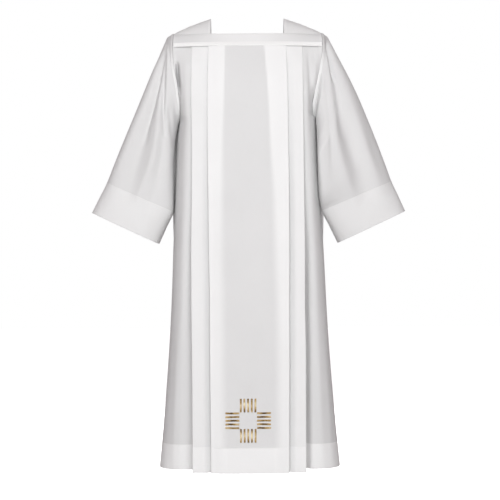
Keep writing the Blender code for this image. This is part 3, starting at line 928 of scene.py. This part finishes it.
sleeveCreases = {
    # as for the body, on the front and on the back of each sleeve
    (-1, "front"): (
        (17, 6.2, -0.4, (-234, -36), (-241, -85), (-249, -125), (-256, -165)),
        (14, 10.5, -0.3, (-237, -62), (-242.6, -91), (-251.4, -135), (-260, -193), (-278, -267),
         (-294, -325), (-300, -360)),
        (19, 28, -0.1, (-272, -190), (-290, -267), (-303, -325), (-314, -384), (-330, -442), (-350, -520)),
        (-4.6, 10, 0, (-234, -80), (-235, -130), (-240, -190)),
        (10, 6, -0.2, (-236.5, -110), (-242, -193), (-244, -267), (-240, -340)),
        (5, 6, -0.3, (-226, -267), (-221, -320), (-214, -390), (-216, -470)),
        (-6, 14, 0.2, (-250, -220), (-262, -325), (-270, -384), (-290, -450), (-318, -520)),
        (4.2, 14, 0, (-244, -300), (-250, -400), (-268, -500), (-290, -560)),
        (-9, 16, 0, (-270, -150), (-311, -267), (-334, -325), (-360, -384), (-385, -442), (-404, -490)),
    ),
    (1, "front"): (
        (20, 7.5, 0.3, (228, -36), (234, -85), (241, -125), (249, -185)),
        (7, 14, 0.1, (236, -91), (244, -135), (255, -193), (265, -267), (272, -350)),
        (18, 30, 0.05, (262, -170), (280, -267), (290, -325), (302, -384), (320, -442), (340, -520)),
        (-4.2, 9, 0, (232, -100), (237.5, -150), (242, -200)),
        (3.4, 8, 0.3, (224, -190), (232, -280), (238, -380), (240, -460)),
        (-5.2, 16, 0, (250, -300), (258, -380), (280, -470), (304, -540)),
        (-10, 18, 0, (276, -160), (305, -267), (323, -325), (340, -384), (362, -442), (384, -500)),
        (3, 16, 0, (340, -330), (366, -400), (392, -468)),
    ),
    (-1, "back"): (
        (10, 14, 0.3, (-244, -80), (-256, -190), (-278, -280), (-308, -380), (-336, -470)),
        (5, 10, 0, (-232, -200), (-236, -320), (-250, -440), (-272, -540)),
        (-4.2, 14, 0, (-290, -220), (-320, -310), (-350, -400)),
    ),
    (1, "back"): (
        (10.5, 14, -0.3, (240, -74), (254, -170), (274, -270), (300, -366), (330, -470)),
        (5.2, 11, 0, (236, -220), (240, -330), (256, -450), (280, -550)),
        (-4.4, 14, 0, (292, -210), (322, -300), (356, -390)),
    ),
}


def sleeveBase(side, stations):
    # rings of points at the armhole and at each station, then a smooth run through them
    angle = np.linspace(0, 2 * pi, sleeve["around"], endpoint=False)
    c, s = np.cos(angle), np.sin(angle)
    middle = (armhole["top"] + armhole["bottom"]) / 2
    half = (armhole["top"] - armhole["bottom"]) / 2
    z = middle + half * c
    lower = np.clip(2 * (middle - z) / half, 0, 1)
    x = side * (armholeX(z, side, -s) + armhole["gap"] + 0.00055 * lower)
    rings = [np.stack([x, armholeDepth(z) * np.where(s > 0, -1, 1), z], 1)]
    for row in sleeve["stations"]:
        at = dict(zip(sleeve["columns"], row))
        upper = np.array((at["outerX"], 0, at["outerZ"]))
        inner = np.array((at["innerX"], 0, at["innerZ"]))
        ring = (upper + inner) / 2 + (upper - inner)[None, :] / 2 * c[:, None]
        innerShare = (1 - c) / 2 * at["swing"]
        outerShare = (1 + c) / 2 * at["swing"]
        power = sleeve["fullness"] - sleeve["crispness"] * (1 - c) / 2
        full = np.sign(s) * np.abs(s) ** between(1.0, power, min(at["outerX"] - 0.2335, 0.05) / 0.05)
        ring[:, 1] = -at["halfDepth"] * full - sleeve["innerForward"][side] * innerShare
        ring[:, 0] += sleeve["elbowOut"][side] * outerShare - sleeve["innerInward"][side] * innerShare
        ring[:, 0] *= side
        rings.append(ring)
    rings = np.array(rings)
    base = np.zeros((len(stations), len(angle), 3))
    for j in range(len(angle)):
        for k in range(3):
            base[:, j, k] = curveThrough(np.arange(-1, len(rings) - 1), rings[:, j, k], stations)
    if side > 0:
        inward, forward, middle = (
            column(sleeve["overlap"], name, sleeve["overlapColumns"], stations)[:, None]
            for name in sleeve["overlapColumns"][1:]
        )
        off = np.degrees(angle)[None, :] - middle
        off /= np.where(off > 0, *sleeve["overlapSpread"])
        near = np.exp(-off ** 2)
        base[..., 0] -= inward * near
        base[..., 1] -= forward * near
    return base, angle


def sleeveGrid(side):
    seam = sleeve["seamStation"]
    cuff = len(sleeve["stations"]) - 1
    nearSeam = (seam - sleeve["stitchRows"], seam + sleeve["stitchRows"])
    stations = np.sort(np.concatenate([np.linspace(-1, 0, 12), np.linspace(0, cuff, 108)[1:], nearSeam]))
    base, angle = sleeveBase(side, stations)
    s = np.sin(angle)[None, :]
    push = np.zeros(base.shape[:2])
    for half, chosen in (("front", s > 0), ("back", s <= 0)):
        depth = creaseDepth(base[..., 0], base[..., 2], sleeveCreases[(side, half)])
        push += np.where(chosen, depth, 0) * np.abs(s) ** 0.8
    flatFrom, flatBy = sleeve["flatten"]
    settle = ramp(stations, *sleeve["settle"]) * (1 - flatBy * ramp(stations, flatFrom, cuff))
    height, rippleFrom = sleeve["ripple"]
    ripple = height * np.sin(angle * 5 + 1.3)[None, :] * ramp(stations, rippleFrom, cuff)[:, None]
    moved = push * settle[:, None] + ripple
    outer = base - outwardOf(base) * moved[..., None]
    outward = outwardOf(outer)
    r = layerGap / 2
    ending = outer[-1] - outer[-2]
    ending /= np.linalg.norm(ending, axis=1, keepdims=True)
    turned = [outer[-1] + ending * r * sin(a) - outward[-1] * (r - r * cos(a)) for a in turnAngles]
    hemRows = np.where(stations > seam - 0.02)[0][::-1]
    inner = [outer[i] - outward[i] * layerGap for i in hemRows]
    grid = np.concatenate([outer, np.array(turned), np.array(inner)])
    fromCuff = steps(outer, 0)[-1] - steps(outer, 0)
    along = np.concatenate([fromCuff, np.zeros((len(turned), fromCuff.shape[1])), -fromCuff[hemRows]])
    where = np.concatenate([stations, np.full(len(turned), cuff), stations[hemRows]])
    return grid, along, where, len(stations)


for side, where in ((-1, "right"), (1, "left")):
    grid, along, stations, outerRows = sleeveGrid(side)
    uv = np.stack([steps(closeRing(grid), 1), closeRing(along)], 2)
    seam, soft = sleeve["seamStation"], sleeve["stitchRows"]
    least, more = sleeve["white"]
    white = spread(least + more * ramp(stations, seam - soft, seam + soft), grid.shape[1])
    seamRow = np.abs(stations[:outerRows] - seam).argmin()
    seamLine = along[seamRow][None, :] - sleeve["stitchBelow"]
    seam = np.where(np.arange(len(grid))[:, None] < outerRows, along - seamLine, 1.0)
    piece = clothPiece("sleeve_sheet_" + where, grid, uv, white, seam, robeCloth, ring=True)
    made["sleeve_" + where] = piece
    print("sleeve", where, len(piece.data.polygons), "faces")


# flat-felled seams round the armholes

armholeBand = {
    "out": 0.0009,
    "width": 0.0084,
    "thickness": 0.0006,
    "rows": 9,
    "stitchAt": 0.003,    # from the middle to each row of stitching
    "white": 0.9,
}

for side, where in ((-1, "right"), (1, "left")):
    stations = np.linspace(-1, 0, 40)
    base = sleeveBase(side, stations)[0]
    outward = outwardOf(base)
    trail = steps(base, 0)
    want = np.linspace(0, armholeBand["width"], armholeBand["rows"])
    grid = np.zeros((len(want), base.shape[1], 3))
    for j in range(base.shape[1]):
        place = np.interp(want, trail[:, j], stations)
        for k in range(3):
            lifted = base[:, j, k] + outward[:, j, k] * armholeBand["out"]
            grid[:, j, k] = np.interp(place, stations, lifted)
    grid[0, :, 0] = grid[1, :, 0] - side * armholeBand["width"] / (armholeBand["rows"] - 1)
    closed = closeRing(grid)
    uv = np.stack([steps(closed, 1), steps(closed, 0)], 2)
    thickness = armholeBand["thickness"]
    seam = spread(np.abs(want - armholeBand["width"] / 2) - armholeBand["stitchAt"], grid.shape[1])
    white = np.full(seam.shape, armholeBand["white"])
    piece = clothPiece("armhole_seam_" + where, grid, uv, white, seam, robeCloth, True, thickness)
    made["armhole_" + where] = piece
print("armhole seams made")


# the cross: twenty satin-stitched bars

cross = {
    "barLength": 0.04,
    "upright": 0.955, "lying": 0.98,    # how long the bars really are, against that length
    "barWidth": 0.005,
    "middle": sum(corner[2] for n in range(1, 21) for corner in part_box(f"cross_bar_{n:02d}")) / 40,
    "closer": 0.0021,                   # the upright bars stand this much nearer the middle
    "threads": 88,
    "threadRadius": 0.00026,
    "height": 0.00095,
    "slant": 0.0008,
    "lift": 0.0003,
    "uneven": (0.035, 0.02),            # in the threads' width, from thread to thread and slowly
    "unevenHeight": 0.1,
    "sway": 0.00022,
    # painted sheen and shade on the bars: upright bars lighter in the middle and darker at the ends, lying
    # bars darker in the middle
    "shades": {True: (0.52, 0.3), False: (0.3, -0.18)},    # upright or lying: middle, and towards the ends
    "shadeDrift": 0.16,
}

goldThread = {
    "deep": (0.15, 0.085, 0.026, 1.0),
    "warm": (0.58, 0.4, 0.165, 1.0),
    "pale": (1.0, 0.9, 0.62, 1.0),
    "stops": (0.3, 0.56, 0.92),    # where the three colours stand, from dark to light
    "patches": (120.0, 3.0),       # scale and detail
    "barShare": 0.55,
    "patchShare": 0.62,
    "fibres": (4200.0, 2.0),
    "fibreHeight": 0.00006,
    "roughness": 0.38,
    "metallic": 0.35,
}


def goldMaterial():
    made, tree, shader = newMaterial("goldThread")
    place = node(tree, "ShaderNodeTexCoord").outputs["Object"]
    patches = noise(tree, "shine from bar to bar", place, *goldThread["patches"])
    patches = combine(tree, "MULTIPLY", patches, goldThread["patchShare"])
    # the along attribute holds each bar's painted sheen and shade, not a position
    along = attribute(tree, "painted sheen along the bar", "along")
    lighter = combine(tree, "MULTIPLY_ADD", along, goldThread["barShare"], patches)
    colours = node(tree, "ShaderNodeValToRGB", "thread colours", {"Fac": lighter})
    stops = colours.color_ramp.elements
    low, middle, high = goldThread["stops"]
    stops[0].position, stops[0].color = low, goldThread["deep"]
    stops[1].position, stops[1].color = high, goldThread["pale"]
    stops.new(middle).color = goldThread["warm"]
    fibres = noise(tree, "twisted fibres", place, *goldThread["fibres"])
    fill(tree, shader, {
        "Base Color": colours.outputs[0],
        "Normal": bump(tree, "twisted fibres", fibres, goldThread["fibreHeight"]),
        "Roughness": goldThread["roughness"],
        "Metallic": goldThread["metallic"],
    })
    return made


def threadTemplate():
    # one arch of thread over the padding, repeated down the bar and made into plain mesh
    bpy.ops.object.select_all(action="DESELECT")
    bpy.ops.curve.primitive_bezier_curve_add(location=(0, 0, 0))
    arch = bpy.context.object
    spline = arch.data.splines[0]
    spline.bezier_points.add(1)
    half, tall = cross["barWidth"] / 2, cross["height"]
    for point, spot in zip(spline.bezier_points, ((-half, 0.0002), (0, -tall), (half, 0.0002))):
        point.co = (spot[0], spot[1], 0)
        point.handle_left_type = point.handle_right_type = "AUTO"
    arch.data.bevel_depth = cross["threadRadius"]
    arch.data.bevel_resolution = 1
    arch.data.resolution_u = 4
    arch.data.use_fill_caps = True
    pitch = (cross["barLength"] - 2 * cross["threadRadius"]) / (cross["threads"] - 1)
    bpy.ops.object.convert(target="MESH")
    arch = bpy.context.object
    rows = arch.modifiers.new("threads", "ARRAY")
    rows.count = cross["threads"]
    rows.use_relative_offset = False
    rows.use_constant_offset = True
    rows.constant_offset_displace = (0, 0, pitch)
    bpy.ops.object.modifier_apply(modifier="threads")
    points = np.zeros(len(arch.data.vertices) * 3)
    arch.data.vertices.foreach_get("co", points)
    points = points.reshape(-1, 3)
    points[:, 2] -= points[:, 2].mean()
    return arch, points


def frontOfPanel(x, z):
    lie = creaseDepth(np.atleast_1d(x), np.atleast_1d(z), frontCreases)
    return float(-bodyAt(float(z))["centre"] + lie[0] - clothThickness / 2)


goldThreadMaterial = goldMaterial()
template, pattern = threadTemplate()
bars = []
for number in range(1, 21):
    name = f"cross_bar_{number:02d}"
    low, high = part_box(name)
    x, z = (low[0] + high[0]) / 2, (low[2] + high[2]) / 2
    upright = high[2] - low[2] > high[0] - low[0]
    mesh = template.data.copy()
    mesh.name = "gold_bar"
    points = pattern.copy()
    thread = np.round((points[:, 2] / cross["barLength"] + 0.5) * (cross["threads"] - 1))
    quick, slow = cross["uneven"]
    wide = 1 + quick * np.sin(thread * 2.399 + number * 1.7) + slow * np.sin(thread * 0.37 + number)
    points[:, 0] *= wide
    points[:, 1] *= 1 + cross["unevenHeight"] * np.sin(thread * 1.13 + number * 0.9)
    points[:, 2] += points[:, 0] / cross["barWidth"] * cross["slant"] * (1 if number % 2 else -1)
    along = points[:, 2] / cross["barLength"]
    points[:, 0] += cross["sway"] * np.sin(along * 5 + number * 1.3)
    points[:, 2] *= cross["upright"] if upright else cross["lying"]
    if not upright:
        points = np.stack([points[:, 2], points[:, 1], -points[:, 0]], 1)
    z += cross["closer"] * (0 if not upright else -1 if z > cross["middle"] else 1)
    spotX, spotZ = points[:, 0] + x, points[:, 2] + z
    half = cross["barLength"] / 2
    slope = (frontOfPanel(x, z + half) - frontOfPanel(x, z - half)) / cross["barLength"]
    tilt = (frontOfPanel(x + half, z) - frontOfPanel(x - half, z)) / cross["barLength"]
    y = points[:, 1] + frontOfPanel(x, z) + slope * points[:, 2] + tilt * points[:, 0] - cross["lift"]
    mesh.vertices.foreach_set("co", np.stack([spotX, y, spotZ], 1).reshape(-1))
    # painted sheen and shade along each bar, with a random drift from thread to thread and bar to bar,
    # kept in the along attribute
    paintedSheen = mesh.attributes.new("along", "FLOAT", "POINT")
    middle, ends = cross["shades"][upright]
    shade = middle + ends * np.cos(along * pi * 2)
    shade += cross["shadeDrift"] * np.sin(number * 2.1 + thread * 0.05)
    paintedSheen.data.foreach_set("value", shade.astype(np.float32))
    mesh.materials.clear()
    mesh.materials.append(goldThreadMaterial)
    mesh.shade_smooth()
    bar = addObject(f"gold_bar_{number:02d}", mesh)
    hang(bar, [name])
    bars.append(bar)
bpy.data.objects.remove(template, do_unlink=True)
print("cross stitched,", len(bars), "bars")


# what each piece stands for: each hangs from the root, and the node it stands for is hidden

for side in ("left", "right"):
    over, cover = made["shoulder_" + side], made["sleeve_" + side]
    hang(over, ["shoulder_" + side])
    hang(cover, ["sleeve_" + side])
    hang(made["armhole_" + side], ["armhole_band_" + side])
for where in ("front", "back"):
    band, strip = made["yoke_" + where], made["strip_" + where]
    hang(band, ["yoke_band_" + where])
    hang(strip, ["yoke_strip_" + where])
    panel = panels[where]
    hang(made[where], [where])


# floor, light and camera

pureWhite = (1.0, 1.0, 1.0, 1.0)

studio = {
    "floorDrop": 0.15,                          # from the hem to the floor
    "floorReach": 12.0,
    "floor": (0.93, 0.93, 0.93, 1.0),
    "floorBounce": (0.4, 0.385, 0.385, 1.0),    # what the floor gives back to the cloth
    "floorGlow": 0.8,
    "floorRoughness": 0.9,
    "worldSeen": 1.0,
    "worldLight": 0.32,
    "worldTint": (1.0, 0.9, 0.915, 1.0),
    "cool": (0.985, 1.0, 1.0),
    "plain": (1.0, 1.0, 1.0),
    "lights": (
        # name, place, aimed at, width, height, power, colour
        ("key", (-0.1, -2.7, 1.3), (0.0, 0.0, -0.3), 1.0, 1.0, 42.5, "cool"),
        ("fill", (0.5, -3.4, 0.1), (0.0, 0.0, -0.6), 1.2, 1.6, 5.0, "cool"),
        ("low", (0.0, -3.4, -1.1), (0.0, 0.0, -1.1), 1.8, 0.9, 50.0, "cool"),
        ("rear", (0.1, 3.4, 0.5), (0.0, 0.0, -0.6), 1.6, 1.6, 80.0, "plain"),
        ("leftSide", (3.4, 1.3, 0.3), (0.0, 0.0, -0.6), 1.4, 1.6, 11.0, "plain"),
        ("rightSide", (-3.4, 1.3, 0.3), (0.0, 0.0, -0.6), 1.4, 1.6, 11.0, "plain"),
    ),
}

floorMesh = bpy.data.meshes.new("floor")
reach, floorZ = studio["floorReach"], hemZ - studio["floorDrop"]
corners = [(x * reach, y * reach, floorZ) for x, y in ((-1, -1), (1, -1), (1, 1), (-1, 1))]
floorMesh.from_pydata(corners, [], [(0, 1, 2, 3)])
floor = addObject("floor", floorMesh)
floorPaint, tree, shader = newMaterial("floorPaint")
seen = node(tree, "ShaderNodeLightPath").outputs["Is Camera Ray"]
# bright to the eye, but throws little light up
fill(tree, shader, {
    "Base Color": mixColour(tree, seen, studio["floorBounce"], studio["floor"]),
    "Roughness": studio["floorRoughness"],
    "Emission Color": pureWhite,
    "Emission Strength": combine(tree, "MULTIPLY", seen, studio["floorGlow"]),
})
floorMesh.materials.append(floorPaint)

world = bpy.data.worlds.new("studio")
bpy.context.scene.world = world
world.use_nodes = True
sky = world.node_tree
sky.nodes.clear()
seen = node(sky, "ShaderNodeLightPath").outputs["Is Camera Ray"]
unseen = studio["worldLight"]
backdrop = node(sky, "ShaderNodeBackground", "", {
    "Color": mixColour(sky, seen, studio["worldTint"], pureWhite),
    "Strength": combine(sky, "MULTIPLY_ADD", seen, studio["worldSeen"] - unseen, unseen),
})
node(sky, "ShaderNodeOutputWorld", "", {0: backdrop.outputs[0]})

for name, place, target, width, height, power, colour in studio["lights"]:
    lamp = bpy.data.lights.new(name, "AREA")
    lamp.shape = "RECTANGLE"
    lamp.size, lamp.size_y = width, height
    lamp.energy = power
    lamp.color = studio[colour]
    light = addObject(name, lamp)
    light.location = place
    light.visible_camera = False
    light.rotation_euler = (Vector(target) - Vector(place)).to_track_quat("-Z", "Y").to_euler()

view = {"place": (0.004, -5.0, -0.677), "lens": 122.9, "sensor": 36.0, "roll": 0.35}
lensData = bpy.data.cameras.new("camera")
lensData.lens = view["lens"]
lensData.sensor_width = view["sensor"]
camera = addObject("camera", lensData)
camera.location = view["place"]
camera.rotation_mode = "XYZ"
camera.rotation_euler = (radians(90), radians(view["roll"]), 0)
bpy.context.scene.camera = camera
bpy.context.scene.view_settings.view_transform = "Standard"
print("floor, light and camera set")
